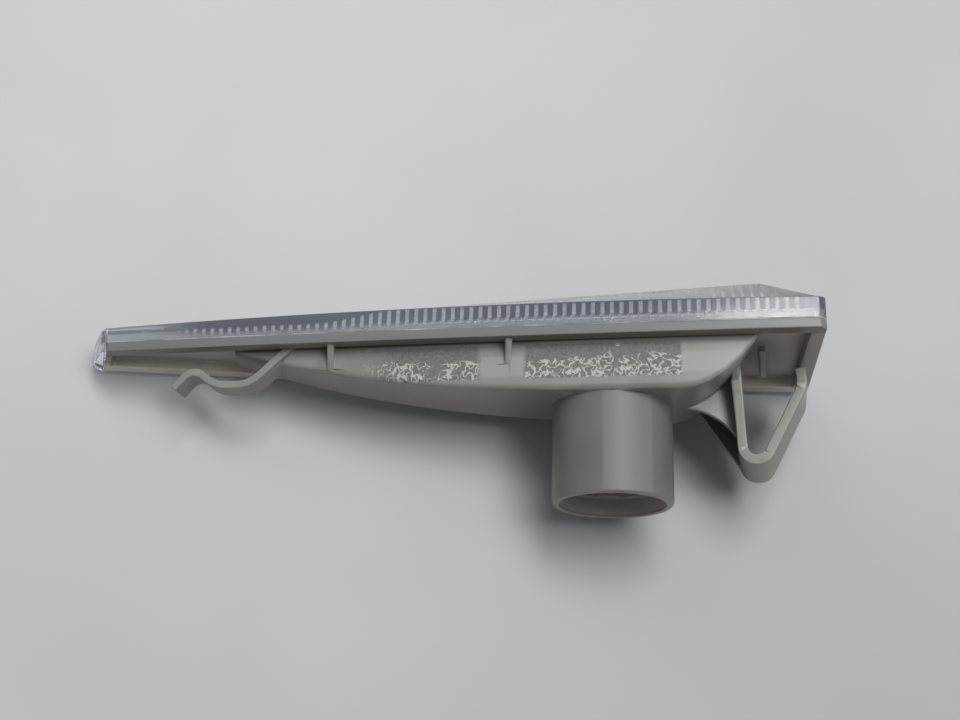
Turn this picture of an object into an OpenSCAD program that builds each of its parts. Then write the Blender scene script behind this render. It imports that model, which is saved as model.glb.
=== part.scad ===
// Side repeater lamp: a wedge-shaped clear lens welded to a moulded housing.
// The lamp is drawn lens up on its rim plane, tip towards +X and sloping edge towards +Y,
// and then turned so that the bulb socket opens along +Y with its mouth at the origin.

/* [Outline] */
// Length of the long lower edge, corner to corner
long_edge = 118.2; // [108:0.1:130]
// Height of the wide end
wide_h = 30.9; // [29:0.1:36]
// Height of the narrow tip
tip_h = 9.4; // [9:0.1:12]
// How far the wide end leans in at its upper corner
wide_lean = 4.1; // [1:0.1:7]
// How far the tip leans in at its upper corner
tip_lean = 2.7; // [0:0.1:5]
// Bow of the long lower edge
lower_bow = 2.4; // [0:0.1:4]
// Bow of the sloping upper edge
upper_bow = 0.8; // [0:0.1:2]
// Radius of the outline's upright corners
corner_r = 1.6; // [0.6:0.1:2.4]

/* [Lens] */
// Height of the lens wall at the wide end, above the rim's back face
lens_wide_top = 4.8; // [4.6:0.1:6.5]
// Height of the lens wall at the tip
lens_tip_top = 3.9; // [3.9:0.1:5]
// Extra height of the lens wall half way along
lens_crown = 0.7; // [0:0.1:1.5]
// Height of the roof's peak
peak_h = 10.8; // [8:0.1:14]
// Height of the ridge at the tip
tip_ridge_h = 4.5; // [4.5:0.1:7]
// Distance of the peak from the wide end
peak_from_end = 9.3; // [6:0.1:20]
// Place of the ridge across the lens, from the lower edge as a share
ridge_share = 0.67; // [0.5:0.01:0.75]
// Wall of the lens skirt round the housing
skirt_wall = 1.6; // [1.4:0.1:1.8]
// Lens thickness in the bottom of a flute
lens_thin = 0.9; // [0.8:0.05:1]
// Depth of the flutes inside the lens
flute_depth = 0.4; // [0.2:0.05:0.45]
// Pitch of the flutes along the sloping edge
flute_pitch = 1.4; // [1.2:0.1:2.8]
// Plain length of lens at the wide end before the first flute
flute_start = 4.6; // [3:0.1:12]
// Plain length of lens at the tip after the last flute
flute_end = 9.2; // [9:0.1:16]

/* [Rim and floor] */
// Height of the rim, from its back face to the weld seam
rim_h = 1.6; // [1.5:0.1:1.9]
// Width of the rim's back face
rim_wall = 2.4; // [2.2:0.1:2.6]
// Depth of the recess inside the rim
recess = 1.9; // [1.7:0.1:1.9]
// Thickness of the housing's floor
floor_t = 1; // [0.9:0.1:1.1]
// Clearance between lens and housing where they nest
nest_gap = 0.1; // [0.05:0.01:0.2]
// Thickness of the lens wall that wraps round the housing's rim at the tip
tip_cap = 1.3; // [1.1:0.1:1.5]

/* [Body] */
// Depth of the body behind the rim
body_depth = 7.8; // [6:0.1:10]
// Wall thickness of the body
body_wall = 1.5; // [1.2:0.1:1.8]
// Distance of the body's upper wall inside the outline at the wide end
body_inset = 2.9; // [2.8:0.1:3.4]
// Distance of the body's upper wall inside the outline at its thin end
body_inset_tip = 3.6; // [3.4:0.1:4.2]
// Distance of the body's lower wall above the lower corners
body_low = 3; // [2.8:0.1:3.4]
// Length of the body from the socket axis towards the tip
body_reach = 59.8; // [50:0.1:62]
// Distance from the socket axis to the start of the end ramp
ramp_start = 8.7; // [8.5:0.1:9.4]
// Length of the rounded end ramp, down to the rim's back face
ramp_len = 11.6; // [10.8:0.1:12.2]
// Roundness of the end ramp: 1 is a straight slope
ramp_power = 2.1; // [1.6:0.1:2.6]
// Roundness of the body's long taper: 1 is a straight slope
taper_power = 2.7; // [2:0.1:3.2]
// Edge radius of the body on the upper side
upper_edge_r = 0.9; // [0.5:0.1:1.2]
// Edge radius of the body on the lower side
lower_edge_r = 2.2; // [1:0.1:2.6]

/* [Bulb socket] */
// Distance of the socket axis from the wide end's lower corner
socket_from_end = 33.7; // [32:0.1:36]
// Height of the socket axis above the lower corners
socket_up = 12.6; // [12.2:0.1:13]
// Outer radius of the collar
collar_r = 9.3; // [9.1:0.05:9.5]
// Distance of the collar's mouth behind the rim
mouth_depth = 23.2; // [18:0.1:28]
// Chamfer round the collar's mouth
collar_edge = 0.3; // [0.1:0.05:0.5]
// Radius of the seal seat just inside the mouth
seat_r = 8.1; // [7.9:0.05:8.3]
// Length of the seal seat
seat_len = 3; // [2:0.1:5]
// Radius of the bore behind the seal seat
bore_r = 7.7; // [7.3:0.05:7.8]
// Width of the three holder lugs
lug_w = 3.3; // [2:0.1:5]
// Height of the holder lugs
lug_h = 0.9; // [0.5:0.1:1.5]
// Length of the holder lugs
lug_len = 4; // [2:0.1:6]

/* [Hook at the tip] */
// Thickness of the hook's strip
hook_t = 1.2; // [0.9:0.1:1.6]
// Width of the hook's strip
hook_w = 4.2; // [3.6:0.1:5]
// Distance of the hook inside the sloping edge
hook_inset = 2.6; // [2.5:0.1:3]
// Where the hook leaves the floor, from the socket axis
hook_x = 48.4; // [44:0.1:50]
// Slope of the hook's first stretch, in degrees
hook_angle = 44; // [40:1:46]
// Straight length from the floor to the hook's belly
hook_drop = 9.3; // [8.6:0.1:9.8]
// Radius of the hook's two belly bends
hook_belly_r = 5; // [4:0.1:5.4]
// Straight length between the two belly bends
hook_flat = 1.9; // [1.2:0.1:2.4]
// Slope of the stretch that rises to the crest, in degrees
hook_rise = 39; // [34:1:42]
// Straight length of the rise
hook_climb = 1.1; // [0.6:0.1:1.6]
// Radius of the hook's crest
hook_crest_r = 2.1; // [1.8:0.1:2.4]
// Slope of the hook's end, in degrees
hook_end_angle = 49; // [40:1:55]
// Straight length of the hook's end
hook_end = 2.6; // [2:0.1:3]

/* [Spring clip at the wide end] */
// Thickness of the clip's strip
clip_t = 1.5; // [1.2:0.1:1.8]
// Width of the clip's strip
clip_w = 12; // [10:0.5:13]
// Height of the clip's middle above the lower corners
clip_up = 11; // [10.5:0.1:12]
// Distance of the clip's fixed leg from the socket axis
clip_x = 19.7; // [19.2:0.1:20.2]
// Turn of the clip about the rim's normal, in degrees
clip_turn = 13; // [10:1:15]
// Lean of the fixed leg away from the socket, in degrees
clip_lean = 3; // [1:0.5:4]
// Length of the fixed leg from the floor to the bend
clip_leg = 17; // [16:0.1:19]
// Radius of the clip's bend, on the middle of its strip
clip_bend_r = 2.1; // [1.8:0.1:2.3]
// Lean of the sprung leg away from the fixed leg's upright, in degrees
clip_spread = 27; // [24:1:28]
// Length of the sprung leg from the bend to the catch
clip_spring = 11; // [10:0.1:11.4]
// Bend back at the catch, in degrees
catch_turn = 34; // [25:1:38]
// Radius of the catch's bend
catch_r = 2.5; // [2:0.1:3]
// Straight length of the clip's free end
catch_end = 1.9; // [1.2:0.1:2.2]

/* [Ribs] */
// Thickness of the gussets and of the rib in the recess
rib_t = 1; // [0.8:0.1:1.2]
// Thickness of the webs between the clip and the body
web_t = 0.8; // [0.7:0.05:1]
// Height of the arched web above the lower corners
web_high = 12.5; // [12:0.1:14]
// Height of the straight web above the lower corners
web_low = 5.5; // [5.4:0.1:7]
// Radius of the arched web's free edge
web_arch_r = 10.6; // [10:0.1:11]
// Distance of the arch's centre beyond the start of the ramp
web_arch_x = 2; // [1.6:0.1:2.6]
// Distance beyond the start of the ramp where the straight web begins
web_heel = 5.8; // [5:0.1:6.6]
// Depth of the rib that widens the fixed leg's root, behind the rim
shoulder_h = 4.2; // [3:0.1:5]
// Length of the rib that widens the fixed leg's root
shoulder_len = 8; // [6:0.1:9]
// Place of the first small gusset along the body, from the socket axis
gusset_near = 16.6; // [14:0.1:22]
// Place of the second small gusset
gusset_far = 44; // [38:0.1:46]
// Height of the small gussets above the rim's back face
gusset_h = 3.4; // [2:0.1:3.8]
// Length of the gussets along the rim's back face
gusset_foot = 1.7; // [1:0.1:2.2]
// Place of the rib in the recess under the clip's catch, from the socket axis
stop_x = 24.3; // [23.6:0.1:25]
// Height of the middle of the rib in the recess above the lower corners
stop_up = 10.4; // [10:0.1:11]
// Length of the rib in the recess
stop_len = 13; // [10:0.1:14]
// Height of the rib in the recess
stop_h = 1; // [0.6:0.1:1.2]

/* [Hidden] */

// Small overlap so that joined solids share volume
bite = 0.4;
x_wide = -socket_from_end;
x_tip = long_edge - socket_from_end;
wide_slope = wide_lean / wide_h;
tip_slope = tip_lean / tip_h;
upper_len = long_edge - wide_lean - tip_lean;
upper_fall = (wide_h - tip_h) / upper_len;
floor_top = recess + floor_t;
peak_t = peak_from_end / long_edge;
lens_thick = lens_thin + flute_depth;
chamber_low = floor_top - nest_gap;
outline_steps = 14;
ridge_half = 0.03;
hip_reach = 0.45;
hip_rise = 0.3;
// Flat steps that stand for curves
ramp_steps = 6;
body_steps = 22;
upper_edge_steps = 3;
lower_edge_steps = 5;
bend_step = 12;
round_steps = 96;
strip_root = recess + floor_t / 2;
leg_foot = strip_root - clip_leg * cos(clip_lean);

// Shapes shared by the housing and the lens

function blend(a, b, k) = a + (b - a) * k;
function arch(t) = 4 * t * (1 - t);

// Inward step of an edge near a rounded corner, at distance s from its end
function corner_step(s, r) = s < r ? r - sqrt(r * r - (r - s) * (r - s)) : 0;

// Corners of the outline moved in by d: lower wide, lower tip, upper tip, upper wide
function outline_corners(d) =
    let (xw = x_wide + d * norm([1, wide_slope]),
         xt = x_tip - d * norm([1, tip_slope]),
         x0 = x_wide + wide_lean,
         top = wide_h - d * norm([1, upper_fall]),
         yw = (top - upper_fall * (xw - x0)) / (1 + upper_fall * wide_slope),
         yt = (top - upper_fall * (xt - x0)) / (1 - upper_fall * tip_slope))
    [[xw + d * wide_slope, d], [xt - d * tip_slope, d],
     [xt - yt * tip_slope, yt], [xw + yw * wide_slope, yw]];

// Point at share t, from the wide end to the tip, of an edge with its corners rounded
function edge_point(from, to, t, bow, inward, d) =
    let (p = blend(from, to, t),
         r = max(corner_r - d, 0.2),
         len = to.x - from.x,
         step = corner_step(t * len, r) + corner_step((1 - t) * len, r))
    [p.x, p.y + bow * arch(t) + inward * step];

function lower_at(t, d) =
    let (c = outline_corners(d)) edge_point(c[0], c[1], t, -lower_bow, 1, d);

function upper_at(t, d) =
    let (c = outline_corners(d)) edge_point(c[3], c[2], t, upper_bow, -1, d);

// Height of the sloping edge above the lower corners, at x
function upper_y(x) =
    let (t = (x - x_wide - wide_lean) / upper_len) wide_h + (tip_h - wide_h) * t + upper_bow * arch(t);

// Stations from the wide end to the tip: close together round the corners, one at the peak
corner_stations = [for (k = [0, 0.04, 0.15, 0.35, 0.65, 1]) k * corner_r / long_edge];
last_corner = len(corner_stations) - 1;
stations = concat(
    corner_stations,
    [for (i = [0 : outline_steps - 1])
        blend(peak_t, 1 - corner_stations[last_corner], i / outline_steps)],
    [for (i = [last_corner : -1 : 0]) 1 - corner_stations[i]]);
last_station = len(stations) - 1;

module outline(d) {
    polygon(concat(
        [for (t = stations) lower_at(t, d)],
        [for (i = [last_station : -1 : 0]) upper_at(stations[i], d)]));
}

module slab(d, low, high) {
    translate([0, 0, low]) linear_extrude(high - low) outline(d);
}

// Solid through a row of rings that have as many points each, clockwise from the last ring's side
module loft(rings) {
    n = len(rings[0]);
    m = len(rings);
    sides = [for (i = [0 : m - 2], j = [0 : n - 1])
        let (k = (j + 1) % n, a = i * n + j, b = i * n + k)
        each [[a, b, b + n], [a, b + n, a + n]]];
    polyhedron(
        points = [for (r = rings) each r],
        faces = concat(
            [[for (j = [n - 1 : -1 : 0]) j]],
            sides,
            [[for (j = [0 : n - 1]) (m - 1) * n + j]]),
        convexity = 6);
}

// Centre line of a bent strip as [x, z, heading]: each move is a straight and then a bend
function strip_line(p, a, moves, i = 0) =
    i == len(moves) ? [] :
    let (run = moves[i][0], turn = moves[i][1], r = moves[i][2],
         q = p + run * [cos(a), sin(a)],
         side = sign(turn),
         c = q + side * r * [-sin(a), cos(a)],
         n = max(1, ceil(abs(turn) / bend_step)),
         bend = [for (k = [0 : n]) let (b = a + turn * k / n)
             let (e = c - side * r * [-sin(b), cos(b)]) [e.x, e.y, b]],
         done = bend[n])
    concat([[p.x, p.y, a]], turn == 0 ? [] : bend,
        strip_line([done.x, done.y], a + turn, moves, i + 1),
        i == len(moves) - 1 ? [[done.x, done.y, a + turn]] : []);

function strip_side(line, off) =
    [for (p = line) [p.x, p.y] + off * [-sin(p.z), cos(p.z)]];

// Strip of a thickness and a width, its profile in the XZ plane and its width centred on Y
module strip(line, thickness, width) {
    left = strip_side(line, thickness / 2);
    right = strip_side(line, -thickness / 2);
    rotate([90, 0, 0])
        translate([0, 0, -width / 2])
            linear_extrude(width)
                polygon(concat(left, [for (i = [len(right) - 1 : -1 : 0]) right[i]]));
}

// Lens

function wall_top(t) = blend(lens_wide_top, lens_tip_top, t) + lens_crown * arch(t);
function before_peak(t) = t < peak_t ? t / peak_t : 1;
function after_peak(t) = t < peak_t ? 0 : (t - peak_t) / (1 - peak_t);
function ridge_top(t) =
    t < peak_t
        ? blend(wall_top(0) + hip_rise, peak_h, before_peak(t))
        : blend(peak_h, tip_ridge_h, after_peak(t));

// The ridge is a narrow flat that opens into two hips between the peak and the wide end
function ridge_at(t, side) =
    blend(0.5 + side * hip_reach, ridge_share + side * ridge_half, before_peak(t));

// Cross section of the lens roof moved in by d and down by drop, with its feet at low
function roof_ring(t, d, drop, low) =
    let (a = lower_at(t, d), b = upper_at(t, d),
         rn = blend(a, b, ridge_at(t, 1)), rf = blend(a, b, ridge_at(t, -1)),
         zw = wall_top(t) - drop, zr = ridge_top(t) - drop)
    [[a.x, a.y, low], [a.x, a.y, zw], [rf.x, rf.y, zr],
     [rn.x, rn.y, zr], [b.x, b.y, zw], [b.x, b.y, low]];

// At the tip the lens wall reaches down to the rim's back face
cap_t = 1 - tip_cap / long_edge;
cap_step = 0.0001;
lens_stations = concat([for (t = stations) if (t < cap_t - cap_step) t], [cap_t - cap_step, cap_t],
    [for (t = stations) if (t > cap_t + cap_step) t]);
function lens_foot(t) = t < cap_t ? rim_h : 0;

flute_t0 = flute_start / upper_len;
flute_count = floor((upper_len - flute_start - flute_end) / flute_pitch);
flute_dt = flute_pitch / upper_len;
lens_mid = lens_thin + flute_depth / 2;

// The chamber's stations step between flute bottom and flute crest, half a pitch at a time
function chamber_ring(t, wall) = roof_ring(t, skirt_wall + wall - lens_mid, wall, chamber_low);
function chamber_rings() = concat(
    [chamber_ring(0, lens_thick)],
    [for (i = [0 : 2 * flute_count])
        chamber_ring(flute_t0 + i * flute_dt / 2, i % 2 == 0 ? lens_thick : lens_thin)]);

module lens() {
    color([0.82, 0.88, 0.93, 0.6])
    in_lamp_frame()
    difference() {
        loft([for (t = lens_stations) roof_ring(t, 0, 0, lens_foot(t))]);
        slab(skirt_wall, rim_h - bite, floor_top + nest_gap);
        loft(chamber_rings());
    }
}

// Housing

x_ramp = -ramp_start;

// Height of the body's back surface, moved in by g: a rounded ramp and then a long shallow curve
function back_z(x, g = 0) =
    let (s = x_ramp + g / 2 - x)
    g - body_depth * (1 - (s > 0
        ? pow(s / ramp_len, ramp_power)
        : pow(max(x - x_ramp, 0) / (body_reach - x_ramp), taper_power)));

function body_upper(x) =
    upper_y(x) - blend(body_inset, body_inset_tip, (x - x_ramp) / (body_reach - x_ramp));

function arc_points(c, r, a0, a1, n) =
    [for (i = [0 : n]) let (a = blend(a0, a1, i / n)) c + r * [cos(a), sin(a)]];

// Cross section of the body at x, moved in by g, with rounded edges and its top at high
function body_ring(x, g, high) =
    let (z = back_z(x, g),
         room = high - z,
         ru = min(max(upper_edge_r - g, 0.3), room * 0.6),
         rl = min(max(lower_edge_r - g, 0.5), room * 0.6),
         yu = body_upper(x) - g,
         yl = body_low + g,
         line = concat([[yu, high]],
             arc_points([yu - ru, z + ru], ru, 0, -90, upper_edge_steps),
             arc_points([yl + rl, z + rl], rl, -90, -180, lower_edge_steps),
             [[yl, high]]))
    [for (p = line) [x, p.x, p.y]];

// Where the ramp reaches a height, for the body moved in by g
function ramp_x(g, z) =
    x_ramp + g / 2 - ramp_len * pow(1 + (z - g) / body_depth, 1 / ramp_power);

module body_form(g, low_cut, high) {
    first = ramp_x(g, low_cut);
    flat = x_ramp + g / 2;
    last = body_reach - g;
    xs = concat([for (i = [0 : ramp_steps - 1]) blend(first, flat, i / ramp_steps)],
        [for (i = [0 : body_steps]) blend(flat, last, i / body_steps)]);
    loft([for (x = xs) body_ring(x, g, high)]);
}

// Everything beyond the tip's edge moved in by d
module past_tip(d, low, high) {
    c = outline_corners(d);
    run = c[2] - c[1];
    far = [tip_h, 0];
    translate([0, 0, low]) linear_extrude(high - low)
        polygon([c[1] - run, c[1] - run + far, c[2] + run + far, c[2] + run]);
}

module collar() {
    root = mouth_depth - body_depth + bite;
    translate([0, socket_up, -mouth_depth])
        rotate_extrude($fn = round_steps)
            polygon([[0, 0], [collar_r - collar_edge, 0], [collar_r, collar_edge],
                [collar_r, root], [0, root]]);
}

module socket_bore() {
    translate([0, socket_up, -mouth_depth]) {
        translate([0, 0, -bite]) cylinder(r = seat_r, h = seat_len + bite, $fn = round_steps);
        cylinder(r = bore_r, h = mouth_depth - body_depth + body_wall + bite, $fn = round_steps);
    }
}

module holder_lugs() {
    for (a = [-90, 30, 150])
        translate([0, socket_up, seat_len - mouth_depth])
            rotate([0, 0, a])
                translate([bore_r - lug_h, -lug_w / 2, 0])
                    cube([lug_h + bite, lug_w, lug_len]);
}

// S-shaped tongue that hooks behind the panel, in line with the sloping edge
module hook() {
    moves = [[hook_drop, hook_angle, hook_belly_r],
        [hook_flat, hook_rise, hook_belly_r],
        [hook_climb, -hook_rise - hook_end_angle, hook_crest_r],
        [hook_end, 0, 0]];
    line = strip_line([0, strip_root], -hook_angle, moves);
    translate([hook_x, upper_y(hook_x) - (hook_inset + hook_w / 2) * norm([1, upper_fall]), 0])
        rotate([0, 0, -atan(upper_fall)])
            strip(line, hook_t, hook_w);
}

// V-shaped spring with a catch near its free end, and a rib that widens the fixed leg's root
module spring_clip() {
    moves = [[clip_leg, clip_lean + clip_spread - 180, clip_bend_r],
        [clip_spring, -catch_turn, catch_r],
        [catch_end, 0, 0]];
    line = strip_line([0, strip_root], -90 - clip_lean, moves);
    side = clip_w / 2 - bite;
    translate([-clip_x, clip_up, 0])
        rotate([0, 0, -clip_turn]) {
            strip(line, clip_t, clip_w);
            translate([-rib_t / 2 - bite / 2, 0, 0])
                rotate([90, 0, 90])
                    linear_extrude(rib_t)
                        polygon([[side, bite], [side, -shoulder_h],
                            [side + shoulder_len, 0], [side + shoulder_len, bite]]);
        }
}

// Middle of the clip's fixed leg at height y above the lower corners and at depth z
function leg_x(y, z) =
    (y - clip_up) * tan(clip_turn) - clip_x - (strip_root - z) * tan(clip_lean) / cos(clip_turn);

// Thin upright plate at height y, its profile in the XZ plane
module web(y) {
    translate([0, y, 0])
        rotate([90, 0, 0])
            translate([0, 0, -web_t / 2])
                linear_extrude(web_t)
                    children();
}

// Web between the ramp and the clip's fixed leg, with an arched free edge
module arched_web() {
    x = x_ramp - web_arch_x;
    top = recess + bite;
    web(web_high)
        difference() {
            polygon([[leg_x(web_high, top), top], [leg_x(web_high, leg_foot), leg_foot],
                [x, leg_foot], [x, top]]);
            translate([x, bite - body_depth - web_arch_r]) circle(r = web_arch_r, $fn = round_steps);
        }
}

// Web with a straight free edge from the ramp down to the clip's bend
module straight_web() {
    x = x_ramp - web_heel;
    top = recess + bite;
    low = leg_foot - clip_bend_r / 2;
    web(web_low)
        polygon([[leg_x(web_low, top), top], [leg_x(web_low, leg_foot) + bite / 2, low],
            [x, back_z(x) + bite], [x, top]]);
}

// Triangular gusset on the rim's back face against the body's upper wall
module gusset(x) {
    y = body_upper(x);
    reach = gusset_foot + upper_y(x) - rim_wall - y;
    translate([x - rib_t / 2, 0, 0])
        rotate([90, 0, 90])
            linear_extrude(rib_t)
                polygon([[y - bite, bite], [y + reach, bite], [y + reach, 0], [y, -gusset_h], [y - bite, -gusset_h]]);
}

// Low rib in the recess under the clip's catch
module stop_rib() {
    translate([-stop_x, stop_up, recess - stop_h])
        rotate([0, 0, -clip_turn])
            translate([-rib_t / 2, -stop_len / 2, 0])
                cube([rib_t, stop_len, stop_h + bite]);
}

module housing() {
    color([0.62, 0.62, 0.55])
    in_lamp_frame() {
        difference() {
            union() {
                difference() {
                    union() {
                        difference() {
                            slab(0, 0, rim_h);
                            past_tip(tip_cap + nest_gap, -bite, rim_h + bite);
                        }
                        slab(skirt_wall + nest_gap, rim_h - bite, floor_top);
                    }
                    slab(rim_wall, -1, recess);
                }
                body_form(0, recess + bite, recess + 2 * bite);
                collar();
                hook();
                spring_clip();
                arched_web();
                straight_web();
                stop_rib();
                gusset(gusset_near);
                gusset(gusset_far);
            }
            body_form(body_wall, floor_top + bite / 2, floor_top + bite);
            socket_bore();
        }
        holder_lugs();
    }
}

// The socket's mouth goes to the origin and the lens faces -Y
module in_lamp_frame() {
    rotate([90, 0, 0])
        translate([0, -socket_up, mouth_depth])
            children();
}

housing();
lens();
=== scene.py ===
import math

import bmesh
import bpy
from mathutils import Matrix, Vector
from mathutils.geometry import convex_hull_2d


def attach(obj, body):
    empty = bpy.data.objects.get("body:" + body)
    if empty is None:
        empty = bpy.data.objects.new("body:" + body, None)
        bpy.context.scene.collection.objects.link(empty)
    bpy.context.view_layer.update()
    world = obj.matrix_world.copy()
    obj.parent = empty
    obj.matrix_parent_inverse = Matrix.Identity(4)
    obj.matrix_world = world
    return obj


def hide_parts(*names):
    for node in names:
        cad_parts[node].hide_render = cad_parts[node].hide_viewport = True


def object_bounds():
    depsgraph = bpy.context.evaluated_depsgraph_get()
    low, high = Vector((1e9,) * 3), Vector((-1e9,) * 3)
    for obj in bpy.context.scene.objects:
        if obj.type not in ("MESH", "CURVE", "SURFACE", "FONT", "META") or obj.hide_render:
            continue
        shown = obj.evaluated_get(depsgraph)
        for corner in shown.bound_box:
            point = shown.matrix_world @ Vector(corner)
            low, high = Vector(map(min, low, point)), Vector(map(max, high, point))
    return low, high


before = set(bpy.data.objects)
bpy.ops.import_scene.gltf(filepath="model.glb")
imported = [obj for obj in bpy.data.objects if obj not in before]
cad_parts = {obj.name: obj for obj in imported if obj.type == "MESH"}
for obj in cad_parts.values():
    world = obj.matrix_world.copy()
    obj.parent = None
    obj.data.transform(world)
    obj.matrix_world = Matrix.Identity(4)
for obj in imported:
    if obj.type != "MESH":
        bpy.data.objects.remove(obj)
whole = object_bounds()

# Camera. The lamp lies on its long edge and is seen from above and a little from behind, with
# the tip to the left. Distances are in millimetres from the rim's back, angles in radians.
scene = bpy.context.scene
MM = 0.001
FOCAL_MM = 50.625
CLIP_NEAR = 0.01
SENSOR_MM = 36
TILT = 1.23719888
YAW = 0.021036236
ROLL = 0.05138004
DISTANCE = 224.541
SHIFT_RIGHT = 20.5805
SHIFT_UP = -4.338
RIM_BEHIND = 23.2
AXIS_UP = 12.6

look = Vector((-math.sin(YAW) * math.cos(TILT), -math.cos(YAW) * math.cos(TILT), -math.sin(TILT)))
level = Vector((-math.cos(YAW), math.sin(YAW), 0))
upright = level.cross(look)
right = math.cos(ROLL) * level + math.sin(ROLL) * upright
up = math.cos(ROLL) * upright - math.sin(ROLL) * level
eye = -DISTANCE * look - SHIFT_RIGHT * right - SHIFT_UP * up - Vector((0, RIM_BEHIND, AXIS_UP))

camera = bpy.data.objects.new("camera", bpy.data.cameras.new("camera"))
camera.data.sensor_width = SENSOR_MM
camera.data.lens = FOCAL_MM
camera.data.clip_start = CLIP_NEAR
camera.matrix_world = Matrix.Translation(eye * MM) @ Matrix((right, up, -look)).transposed().to_4x4()
scene.collection.objects.link(camera)
scene.camera = camera
scene.view_settings.view_transform = "Standard"


# Light and table. One soft ceiling panel to the right, a weak window in front of the lens and a
# pale room. The table is a plain matt sheet whose colour carries painted light: it is painted a
# little brighter towards the tip and the lens.
class Socket:
    """A node socket; arithmetic on it adds the nodes that the sum needs."""

    MIX_LOW = 6
    MIX_HIGH = 7
    MIX_RESULT = 2

    def __init__(self, tree, out=None):
        self.tree = tree
        self.out = out

    def node(self, kind, settings=None, values=None, result=0):
        """Adds a node: its type, then its settings, then its values and links."""
        made = self.tree.nodes.new(kind)
        for name, value in (settings or {}).items():
            setattr(made, name, value)
        for name, value in (values or {}).items():
            if isinstance(value, Socket):
                self.tree.links.new(value.out, made.inputs[name])
            else:
                made.inputs[name].default_value = value
        return Socket(self.tree, made.outputs[result] if len(made.outputs) else None)

    def is_vector(self):
        return self.out.type in ("VECTOR", "RGBA")

    def sum_of(self, operation, first, second):
        sides = (first, second)
        if any(isinstance(side, Socket) and side.is_vector() for side in sides):
            ready = (Socket, tuple)
            pair = [side if isinstance(side, ready) else (side, side, side) for side in sides]
            return self.node("ShaderNodeVectorMath", {"operation": operation},
                             {0: pair[0], 1: pair[1]})
        return self.node("ShaderNodeMath", {"operation": operation}, {0: first, 1: second})

    def __add__(self, other):
        return self.sum_of("ADD", self, other)

    def __radd__(self, other):
        return self.sum_of("ADD", other, self)

    def __sub__(self, other):
        return self.sum_of("SUBTRACT", self, other)

    def __rsub__(self, other):
        return self.sum_of("SUBTRACT", other, self)

    def __mul__(self, other):
        return self.sum_of("MULTIPLY", self, other)

    def __rmul__(self, other):
        return self.sum_of("MULTIPLY", other, self)

    def __truediv__(self, other):
        return self.sum_of("DIVIDE", self, other)

    def __rtruediv__(self, other):
        return self.sum_of("DIVIDE", other, self)

    def most(self, other):
        return self.sum_of("MAXIMUM", self, other)

    def power(self, other):
        return self.sum_of("POWER", self, other)

    def absolute(self):
        return self.node("ShaderNodeMath", {"operation": "ABSOLUTE"}, {0: self})

    def step(self, low, high):
        """0 below low, 1 above high, smooth between."""
        return self.node("ShaderNodeMapRange", {"interpolation_type": "SMOOTHSTEP"},
                         {"Value": self, "From Min": low, "From Max": high})

    def band(self, low, high, soft):
        """1 between low and high, with soft ends."""
        return self.step(low - soft, low + soft) * (1 - self.step(high - soft, high + soft))

    def tint(self, low, high):
        """Blends two colours by this value; each is a tuple or a socket."""
        return self.node("ShaderNodeMix", {"data_type": "RGBA"},
                         {"Factor": self, self.MIX_LOW: low, self.MIX_HIGH: high},
                         result=self.MIX_RESULT)

    def parts(self):
        """The three numbers of a vector."""
        return [self.node("ShaderNodeSeparateXYZ", {}, {0: self}, result=i) for i in range(3)]

    def repeat(self, first, pitch):
        """Distance from the nearest of the places that stand a pitch apart."""
        half = 0.5
        turn = self.node("ShaderNodeMath", {"operation": "FRACT"}, {0: (self - first) / pitch + half})
        return (turn - half).absolute() * pitch

    def noise(self, size, detail=2.0, rough=0.5, bend=0.0):
        """Noise whose blotches are about size wide, in the units of this position."""
        return self.node("ShaderNodeTexNoise", {}, {"Vector": self, "Scale": 1 / size, "Detail": detail,
                                                    "Roughness": rough, "Distortion": bend})


def material(name):
    """An empty node material: its tree, and a position in millimetres on the object."""
    made = bpy.data.materials.new(name)
    made.use_nodes = True
    made.node_tree.nodes.clear()
    net = Socket(made.node_tree)
    place = net.node("ShaderNodeTexCoord", result="Object")
    return made, net, place * (1 / MM)


def output(net, surface):
    net.node("ShaderNodeOutputMaterial", {}, {"Surface": surface})


FLOOR_HALF = 0.9
FLOOR_COLOUR = (0.60, 0.61, 0.635, 1)
FLOOR_WARM = (0.575, 0.58, 0.59, 1)
FLOOR_DIM = 0.79
FLOOR_ACROSS = 0.2
FLOOR_ACROSS_X = (-60, 110)
FLOOR_BACK = 0.16
FLOOR_BACK_Y = (-90, 60)
FLOOR_ROUGH = 0.75
STAIN_SIZE = 60.0
STAIN_SPAN = (0.35, 0.65)
FIBRE_SIZE = 0.9
FIBRE_BUMP = {"Strength": 0.12, "Distance": 0.00005}
low_z = whole[0][2]
corners = [(x * FLOOR_HALF, y * FLOOR_HALF, low_z) for x, y in ((-1, -1), (1, -1), (1, 1), (-1, 1))]
floor_mesh = bpy.data.meshes.new("table")
floor_mesh.from_pydata(corners, [], [tuple(range(len(corners)))])
floor = bpy.data.objects.new("table", floor_mesh)
scene.collection.objects.link(floor)

paper, net, mm = material("table")
fibre = mm.noise(FIBRE_SIZE, detail=3.0, rough=0.6)
stain = mm.noise(STAIN_SIZE)
x, y = mm.parts()[:2]
# Painted light falloff: the table's colour is scaled brighter towards the tip and the lens.
across = x.step(*FLOOR_ACROSS_X) * FLOOR_ACROSS
painted_falloff = across + (1 - y.step(*FLOOR_BACK_Y)) * FLOOR_BACK + FLOOR_DIM
sheet = net.node("ShaderNodeBsdfPrincipled", {}, {
    "Base Color": stain.step(*STAIN_SPAN).tint(FLOOR_COLOUR, FLOOR_WARM) * painted_falloff,
    "Roughness": FLOOR_ROUGH,
    "Normal": net.node("ShaderNodeBump", {}, FIBRE_BUMP | {"Height": fibre}),
})
output(net, sheet)
floor_mesh.materials.append(paper)

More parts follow.
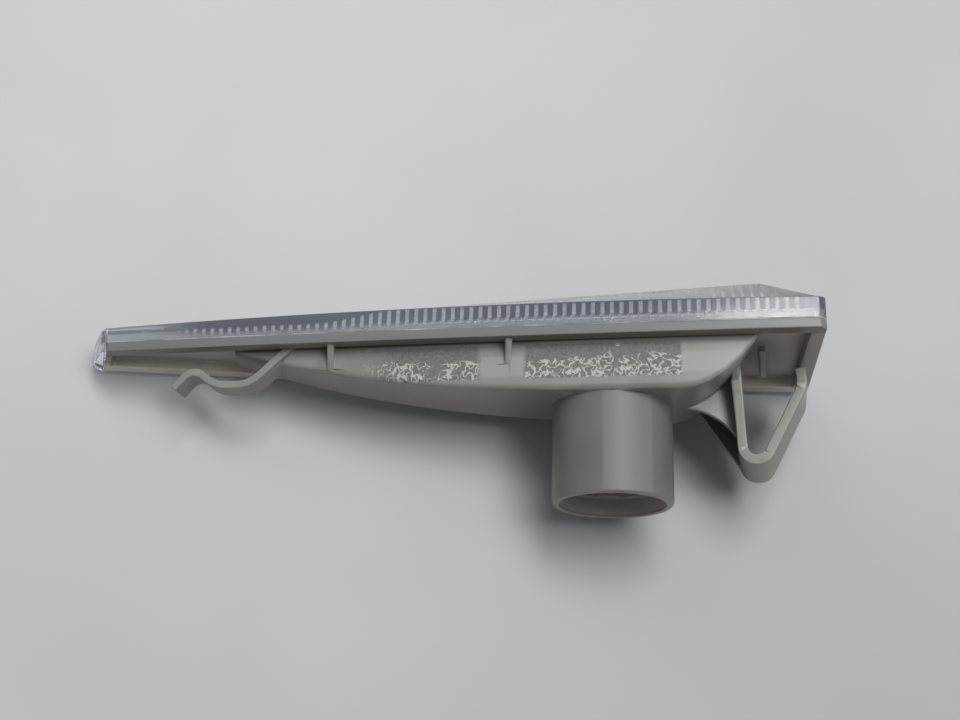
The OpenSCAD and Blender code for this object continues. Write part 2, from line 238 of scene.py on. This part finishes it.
SKY_LENS_SIDE = (0.66, 0.72, 0.82, 1)
SKY_SOCKET_SIDE = (0.50, 0.49, 0.48, 1)
SKY_TURN = (-0.7, 0.75)
SKY_LEVEL = 0.275
BACKDROP = (0.56, 0.57, 0.58, 1)
world = bpy.data.worlds.new("room")
world.use_nodes = True
world.node_tree.nodes.clear()
net = Socket(world.node_tree)
along = net.node("ShaderNodeTexCoord", result="Generated").parts()[1]
sky = along.step(*SKY_TURN).tint(SKY_LENS_SIDE, SKY_SOCKET_SIDE)
room = net.node("ShaderNodeBackground", {}, {"Color": sky, "Strength": SKY_LEVEL})
backdrop = net.node("ShaderNodeBackground", {}, {"Color": BACKDROP, "Strength": 1.0})
seen = net.node("ShaderNodeLightPath", result="Is Camera Ray")
for ray in ("Is Glossy Ray", "Is Transmission Ray"):
    seen = seen.most(net.node("ShaderNodeLightPath", result=ray))
room = net.node("ShaderNodeMixShader", {}, {0: seen, 1: room, 2: backdrop})
net.node("ShaderNodeOutputWorld", {}, {"Surface": room})
scene.world = world


def panel(name, place, aim, width, height, watts, colour):
    """A flat lamp at a place in metres, turned to an aim."""
    light = bpy.data.lights.new(name, "AREA")
    light.shape = "RECTANGLE"
    light.size = width
    light.size_y = height
    light.energy = watts
    light.color = colour
    made = bpy.data.objects.new(name, light)
    made.location = place
    made.rotation_euler = (Vector(aim) - Vector(place)).to_track_quat("-Z", "Y").to_euler()
    scene.collection.objects.link(made)


panel("ceiling", place=(-0.19, -0.16, 0.75), aim=(-0.11, -0.085, 0), width=0.62, height=0.25,
      watts=5.2, colour=(1.0, 0.99, 0.97))
panel("window", place=(0.35, -0.6, 0.7), aim=(0, 0, 0), width=0.5, height=0.5,
      watts=0.8, colour=(0.93, 0.97, 1.0))

# Housing. One moulding of warm grey plastic, semi-gloss, with the rim, the hollow body, the
# bulb socket's collar, the hook and the spring clip; it is welded to the lens along its rim.
MERGE = 2e-6
TINY = 2e-5
ROUND_STEPS = 2
ROUND_PROFILE = 0.5
SMOOTH_UP_TO = math.radians(38)
FACE_WEIGHT = 80


def rounded_copy(node, name, radius, sharp, least):
    """A copy of a CAD node's mesh with its sharp edges rounded, made to stand for the node."""
    work = bmesh.new()
    work.from_mesh(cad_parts[node].data)
    bmesh.ops.remove_doubles(work, verts=work.verts, dist=MERGE)
    bmesh.ops.dissolve_degenerate(work, dist=TINY, edges=work.edges)
    edges = [e for e in work.edges
             if e.is_manifold and e.calc_face_angle(0) > sharp and e.calc_length() > least]
    bmesh.ops.bevel(work, geom=edges, offset=radius, offset_type="OFFSET", segments=ROUND_STEPS,
                    profile=ROUND_PROFILE, affect="EDGES", clamp_overlap=False)
    mesh = bpy.data.meshes.new(name)
    work.to_mesh(mesh)
    work.free()
    mesh.shade_smooth()
    mesh.set_sharp_from_angle(angle=SMOOTH_UP_TO)
    piece = bpy.data.objects.new(name, mesh)
    scene.collection.objects.link(piece)
    even = piece.modifiers.new("even_normals", "WEIGHTED_NORMAL")
    even.weight = FACE_WEIGHT
    even.keep_sharp = True
    graph = bpy.context.evaluated_depsgraph_get()
    piece.data = bpy.data.meshes.new_from_object(piece.evaluated_get(graph))
    piece.modifiers.clear()
    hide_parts(node)
    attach(piece, "root")
    return piece


housing = rounded_copy("housing", "housing_moulding", radius=0.00018, sharp=math.radians(32),
                       least=0.0004)

# The collar is a true cylinder, so its shading follows the radius.
COLLAR_R = 0.0093
COLLAR_NEAR = 0.00006
COLLAR_FACES_OUT = 0.9
mesh = housing.data
normals = [Vector(corner.vector) for corner in mesh.corner_normals]
for face in mesh.polygons:
    middle = Vector((face.center.x, 0, face.center.z))
    outward = face.normal.dot(middle.normalized()) > COLLAR_FACES_OUT
    if outward and abs(middle.length - COLLAR_R) < COLLAR_NEAR:
        for corner in face.loop_indices:
            point = mesh.vertices[mesh.loops[corner].vertex_index].co
            normals[corner] = Vector((point.x, 0, point.z)).normalized()
mesh.normals_split_custom_set(normals)

# Places on the plastic are in millimetres: where a tone begins and ends, and then how soft a
# band's ends are. The way a face looks runs from -1 to 1.
grey, net, mm = material("housing_plastic")
x, y, z = mm.parts()
behind, above = net.node("ShaderNodeTexCoord", result="Normal").parts()[1:]
CLOUDY = (0.3, 0.7)
cloud = mm.noise(9.0).step(*CLOUDY)
radius = (x * x + z * z).power(0.5)

# The near wall of the body carries two patches with an etched, wormy grain; the worms are
# painted pale as painted glints on the grain, strongest in the patches' back half, and the wall
# between the patches is painted paler, as painted sheen.
NEAR_SIDE_Z = (2.0, 4.0)
WALL_Y = (-22.8, -17.4, 0.2)
SOCKET_PATCH_X = (-9.0, 14.0, 0.3)
HOOK_PATCH_X = (21.0, 40.0, 0.6)
PALE_Y = (-21.0, -17.8, 0.35)
PALE_BETWEEN_X = (14.3, 20.7, 0.15)
PALE_CLIP_END_X = (-21.0, -9.0, 0.3)
near_side = z.step(*NEAR_SIDE_Z)
patch = y.band(*WALL_Y) * near_side * x.band(*SOCKET_PATCH_X).most(x.band(*HOOK_PATCH_X))
# Painted sheen: the smooth wall beside the patches gets a paler tone where it catches the light.
pale = y.band(*PALE_Y) * near_side * x.band(*PALE_BETWEEN_X).most(x.band(*PALE_CLIP_END_X))

NOISE_MIDDLE = 0.5
WORM_EDGE = (0.035, 0.065)
WORM_BACK_Y = (-21.2, -19.6)
WORM_BACK_GAIN = 0.34
WORM_SHOWS = (0.43, 0.53)
MOTTLE_SPAN = (0.35, 0.65)
worm = (mm.noise(1.05, detail=1.0, rough=0.4, bend=0.7) - NOISE_MIDDLE).absolute()
strong = y.step(*WORM_BACK_Y) * WORM_BACK_GAIN + mm.noise(3.0, detail=1.0) - WORM_BACK_GAIN / 2
squiggle = (1 - worm.step(*WORM_EDGE)) * strong.step(*WORM_SHOWS)
mottle = mm.noise(0.4, detail=3.0, rough=0.65)
ground = mottle.step(*MOTTLE_SPAN).tint((0.145, 0.148, 0.143, 1), (0.21, 0.215, 0.207, 1))
# Painted glints: the worms of the etched grain get a pale colour standing in for their highlights.
etched = squiggle.tint(ground, (0.52, 0.53, 0.48, 1))

# The walls are dull. Faces that look back are painted warmer and lighter, as painted fill light,
# and the top edges of the body, the hook and the clip are painted brighter, as painted light. The
# collar's top carries a rougher band of painted highlight with hard ends.
BACK_FACING = (0.3, 0.8)
TOP_FACING = (0.4, 0.8)
HOOK_X = (44.0, 47.0)
CLIP_X = (-18.0, -16.0)
THIN_Z = (-6.0, -3.0)
BODY_TOP_Y = (-16.6, -15.2)
BODY_TOP_Z = (-2.0, 3.0)
COLLAR_BAND_X = (-5.1, 2.4, 0.25)
COLLAR_FROM_Y = (-15.6, -15.2)
COLLAR_TOP_Z = (4.0, 5.0)
COLLAR_OUTSIDE = (9.0, 9.2)
# Painted light: the up-facing top edges of the hook and the clip, and the body's top, get a brighter
# tone.
thin = x.step(*HOOK_X).most(1 - x.step(*CLIP_X)) * above.step(*TOP_FACING)
body_top = (1 - y.step(*BODY_TOP_Y)) * z.step(*BODY_TOP_Z)
lit = body_top.most(thin * z.step(*THIN_Z))
# Painted highlight: a band along the collar's top stands in for the ceiling panel's reflection.
collar_painted_highlight = x.band(*COLLAR_BAND_X) * y.step(*COLLAR_FROM_Y) * z.step(*COLLAR_TOP_Z)
collar_painted_highlight = collar_painted_highlight * radius.step(*COLLAR_OUTSIDE)
dull = cloud.tint((0.154, 0.155, 0.142, 1), (0.176, 0.177, 0.163, 1))
warm = cloud.tint((0.25, 0.241, 0.224, 1), (0.283, 0.273, 0.254, 1))
bright = cloud.tint((0.265, 0.268, 0.247, 1), (0.31, 0.313, 0.288, 1))

# The rim: its near edge; the far edge's inner wall, painted pale as painted light; its back face
# along the sloping side, painted dark as painted shade; and the recessed floor beside the hook
# and the clip, painted pale as painted light.
RIM_EDGE_Y = (-23.4, -23.1)
RIM_EDGE_FACING = (0.5, 0.8)
FAR_RIM_Z = (-10.5, -8.5)
FAR_RIM_Y = (-22.9, -22.0)
SLOPE = 0.193
RIM_BACK_FROM = (9.6, 10.2)
RIM_BACK_Y = (-23.6, -22.8, 0.1)
RIM_BACK_FACING = (0.5, 0.9)
SUNK_Y = (-24.2, -23.8)
SUNK_HOOK_X = (42.0, 46.0)
SUNK_CLIP_X = (-14.0, -10.0)
rim_edge = (1 - y.step(*RIM_EDGE_Y)) * above.step(*RIM_EDGE_FACING)
# Painted light: the inner wall along the far edge gets a pale tone.
far_rim_painted_light = (1 - z.step(*FAR_RIM_Z)) * (1 - y.step(*FAR_RIM_Y))
# Painted shade: the rim's back face along the sloping side gets a dark brown tone.
rim_back_painted_shade = (z + x * SLOPE).step(*RIM_BACK_FROM) * y.band(*RIM_BACK_Y) * behind.step(*RIM_BACK_FACING)
# Painted light: the recessed floor beside the hook and the clip gets a pale tone.
sunk_floor_painted_light = (1 - y.step(*SUNK_Y)) * behind.step(*RIM_BACK_FACING)
sunk_floor_painted_light = sunk_floor_painted_light * x.step(*SUNK_HOOK_X).most(1 - x.step(*SUNK_CLIP_X))

# Inside the socket the plastic is painted paler, and a warm brown with depth, as painted glow
# of light coming through its translucent walls.
SOCKET_WALL = (8.5, 8.9)
SOCKET_Y = (-30.0, -0.3, 0.3)
SOCKET_DEEP_Y = (-7.0, -2.5)
inside = (1 - radius.step(*SOCKET_WALL)) * y.band(*SOCKET_Y)
socket_deep_painted_glow = inside * (1 - y.step(*SOCKET_DEEP_Y))

# Painted fill light: faces that look back take the warmer, lighter tone.
tone = behind.step(*BACK_FACING).tint(dull, warm)
for place, colour in (
    (lit, bright),
    (collar_painted_highlight, (0.198, 0.2, 0.188, 1)),
    (pale, (0.355, 0.36, 0.332, 1)),
    (rim_edge, (0.20, 0.206, 0.204, 1)),
    (far_rim_painted_light, (0.68, 0.665, 0.60, 1)),
    (rim_back_painted_shade, (0.168, 0.155, 0.136, 1)),
    (sunk_floor_painted_light, (0.5, 0.475, 0.43, 1)),
    (patch, etched),
    (inside, (0.42, 0.405, 0.37, 1)),
    (socket_deep_painted_glow, (0.46, 0.31, 0.21, 1)),
):
    tone = place.tint(tone, colour)

PLASTIC_ROUGH = 0.3
PATCH_ROUGHER = 0.25
COLLAR_ROUGHER = 0.2
GRAIN_HEIGHT = 0.35
MOULD_BUMP = {"Strength": 0.35, "Distance": 0.00006}
grain = mm.noise(0.35, detail=3.0, rough=0.6)
height = grain * GRAIN_HEIGHT + patch * (squiggle + mottle)
plastic = net.node("ShaderNodeBsdfPrincipled", {}, {
    "Base Color": tone,
    "Roughness": patch * PATCH_ROUGHER + collar_painted_highlight * COLLAR_ROUGHER + PLASTIC_ROUGH,
    "IOR": 1.45,
    "Subsurface Weight": 0.3,
    "Subsurface Radius": (1.0, 0.9, 0.65),
    "Subsurface Scale": 0.0012,
    "Normal": net.node("ShaderNodeBump", {}, MOULD_BUMP | {"Height": height}),
})
output(net, plastic)
housing.data.materials.append(grey)

# Lens. One clear moulding, polished outside, with upright flutes moulded inside its wall and
# its roof; its skirt nests on the housing's floor and is welded all round.
lens = rounded_copy("lens", "lens_moulding", radius=0.0001, sharp=math.radians(50), least=0.0004)

CLEAR_IOR = 1.49
HAZE_ROUGH = (0.3, 0.8)
HAZE_ROUGHER = 0.06
POLISHED = 0.07
clear, net, mm = material("lens_clear")
x, y, z = mm.parts()
behind, above = net.node("ShaderNodeTexCoord", result="Normal").parts()[1:]
haze = mm.noise(6.0)
speck = mm.noise(0.5)
glass = net.node("ShaderNodeBsdfPrincipled", {}, {
    "Base Color": haze.step(*CLOUDY).tint((0.84, 0.885, 0.96, 1), (0.88, 0.92, 0.98, 1)),
    "Roughness": haze.step(*HAZE_ROUGH) * HAZE_ROUGHER + POLISHED,
    "IOR": CLEAR_IOR,
    "Transmission Weight": 1.0,
})

# In the near wall the flutes are painted as pale bars of painted light on a ground of painted
# dark reflection; towards the tip only their feet are still painted pale, and over the roof they
# go on as faint ribs. Height is taken from the rim's back.
FLUTE_FIRST = -25.2
FLUTE_PITCH = 1.4
FLUTE_HALF = (0.2, 0.36)
FLUTES_X = (-26.0, 68.0, 1.5)
WALL_FACING = (0.6, 0.9)
WALL_FROM_Z = (-8.0, -6.0)
ROOF_FACING = (0.5, 0.8)
ROOF_NEAR_FACING = (-0.1, 0.1)
height = y * -1 - RIM_BEHIND
near = above.step(*WALL_FACING) * z.step(*WALL_FROM_Z)
roof = (behind * -1).step(*ROOF_FACING) * above.step(*ROOF_NEAR_FACING)
bars = (1 - x.repeat(FLUTE_FIRST, FLUTE_PITCH).step(*FLUTE_HALF)) * x.band(*FLUTES_X)

FOOT_HEIGHT = 3.0
FOOT_DROP = -0.6
FOOT_DROP_X = (20.0, 50.0)
FOOT_SOFT = 0.12
BAR_HEIGHT = 4.85
BAR_DROP = -1.75
BAR_DROP_X = (33.0, 47.0)
BAR_SOFT = 0.2
DARK_TIP_X = (62.0, 74.0)
DARK_WIDE_X = (-29.3, -28.6)
DARK_COVER = 0.85
BAR_COVER = -0.1
foot = x.step(*FOOT_DROP_X) * FOOT_DROP + FOOT_HEIGHT
top = x.step(*BAR_DROP_X) * BAR_DROP + BAR_HEIGHT
dark = near * height.step(foot - FOOT_SOFT, foot + FOOT_SOFT)
dark = dark * (1 - x.step(*DARK_TIP_X)) * x.step(*DARK_WIDE_X)
# Painted light: the pale bars where the flutes catch the light; the dark ground is painted reflection.
lamp = bars * (1 - height.step(top - BAR_SOFT, top + BAR_SOFT))
flute_light = speck.step(*CLOUDY).tint((0.31, 0.333, 0.375, 1), (0.43, 0.455, 0.49, 1))
fluted = net.node("ShaderNodeBsdfPrincipled", {}, {
    "Base Color": lamp.tint((0.095, 0.106, 0.138, 1), flute_light),
    "Roughness": 0.15,
    "IOR": CLEAR_IOR,
})

# The wall's foot and the tip look milky, because the weld behind them shows through.
FOOT_MILKY_TO = (2.7, 3.0)
FOOT_MILKY = 0.35
TIP_MILKY_X = (60.0, 76.0)
TIP_MILKY = 0.3
ROOF_MILKY = 0.12
ROOF_RIB_MILKY = 0.2
veil = net.node("ShaderNodeBsdfPrincipled", {}, {
    "Base Color": (0.39, 0.408, 0.425, 1),
    "Roughness": 0.2,
    "IOR": CLEAR_IOR,
})
milky = near * (1 - height.step(*FOOT_MILKY_TO)) * FOOT_MILKY + near * x.step(*TIP_MILKY_X) * TIP_MILKY
milky = milky + roof * (bars * ROOF_RIB_MILKY + ROOF_MILKY)
body = net.node("ShaderNodeMixShader", {}, {0: milky, 1: glass, 2: veil})
cover = dark * (lamp * BAR_COVER + DARK_COVER)
body = net.node("ShaderNodeMixShader", {}, {0: cover, 1: body, 2: fluted})
output(net, body)
lens.data.materials.append(clear)

# Weld bead. A fine thread of lens plastic pressed out along the seam where the lens was welded
# to the housing's rim; it runs round the lamp in the groove between the two.
SEAM_Y = -0.0248
SEAM_NEAR = 0.00001
CAP_X = 0.0830
seam = [v.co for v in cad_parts["lens"].data.vertices
        if abs(v.co.y - SEAM_Y) < SEAM_NEAR and v.co.x < CAP_X]
flat = [(point.x, point.z) for point in seam]
loop = [Vector((flat[i][0], SEAM_Y, flat[i][1])) for i in convex_hull_2d(flat)]
path = bpy.data.meshes.new("weld_path")
path.from_pydata(loop, [(i, (i + 1) % len(loop)) for i in range(len(loop))], [])
bead = bpy.data.objects.new("weld_bead", path)
scene.collection.objects.link(bead)

PATCHY_SPAN = (0.4, 0.62)
BEAD_ROUGH = 0.15
PATCHY_ROUGHER = 0.2
FINE_BUMP = {"Strength": 0.2, "Distance": 0.00003}
thread, net, mm = material("weld_bead")
patchy = mm.noise(7.0, detail=3.0, rough=0.6)
fine = mm.noise(0.3)
# Painted glints: the bead's own grey turns pale in patches that stand in for highlights along the seam.
pressed = net.node("ShaderNodeBsdfPrincipled", {}, {
    "Base Color": patchy.step(*PATCHY_SPAN).tint((0.24, 0.25, 0.25, 1), (0.60, 0.62, 0.62, 1)),
    "Roughness": patchy * PATCHY_ROUGHER + BEAD_ROUGH,
    "IOR": CLEAR_IOR,
    "Normal": net.node("ShaderNodeBump", {}, FINE_BUMP | {"Height": fine}),
})
output(net, pressed)

tree = bpy.data.node_groups.new("bead_along_seam", "GeometryNodeTree")
SWELL_PER_M = 400
THREAD_SIDES = 8
INPUTS = (
    ("Geometry", "Geometry", None),
    ("Radius", "Float", 0.00013),
    ("Inset", "Float", 0.000157),
    ("Spacing", "Float", 0.0006),
    ("Swell", "Float", 0.35),
    ("Seed", "Float", 3.0),
    ("Material", "Material", thread),
)
ids = {}
for name, kind, value in INPUTS:
    entry = tree.interface.new_socket(name, in_out="INPUT", socket_type="NodeSocket" + kind)
    ids[name] = entry.identifier
tree.interface.new_socket("Geometry", in_out="OUTPUT", socket_type="NodeSocketGeometry")
net = Socket(tree)
given = {name: net.node("NodeGroupInput", result=name) for name in ids}
line = net.node("GeometryNodeMeshToCurve", {}, {"Mesh": given["Geometry"]})
line = net.node("GeometryNodeResampleCurve", {"mode": "LENGTH"},
                {"Curve": line, "Length": given["Spacing"]})
place = net.node("GeometryNodeInputPosition")
swell = net.node("ShaderNodeTexNoise", {"noise_dimensions": "4D"},
                 {"Vector": place * SWELL_PER_M, "W": given["Seed"], "Detail": 2.0})
side = net.node("ShaderNodeVectorMath", {"operation": "CROSS_PRODUCT"},
                {0: net.node("GeometryNodeInputTangent"), 1: (0, 1, 0)})
line = net.node("GeometryNodeSetPosition", {}, {"Geometry": line, "Offset": side * given["Inset"]})
ring = net.node("GeometryNodeCurvePrimitiveCircle", {},
                {"Resolution": THREAD_SIDES, "Radius": given["Radius"]})
tube = net.node("GeometryNodeCurveToMesh", {}, {
    "Curve": line, "Profile Curve": ring, "Scale": (swell - NOISE_MIDDLE) * given["Swell"] + 1.0})
tube = net.node("GeometryNodeSetShadeSmooth", {}, {"Geometry": tube})
tube = net.node("GeometryNodeRealizeInstances", {}, {"Geometry": tube})
tube = net.node("GeometryNodeSetMaterial", {}, {"Geometry": tube, "Material": given["Material"]})
net.node("NodeGroupOutput", {}, {"Geometry": tube})

growth = bead.modifiers.new("bead_along_seam", "NODES")
growth.node_group = tree
for name, kind, value in INPUTS[1:]:
    growth[ids[name]] = value
graph = bpy.context.evaluated_depsgraph_get()
bead.data = bpy.data.meshes.new_from_object(bead.evaluated_get(graph))
bead.modifiers.clear()
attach(bead, "root")
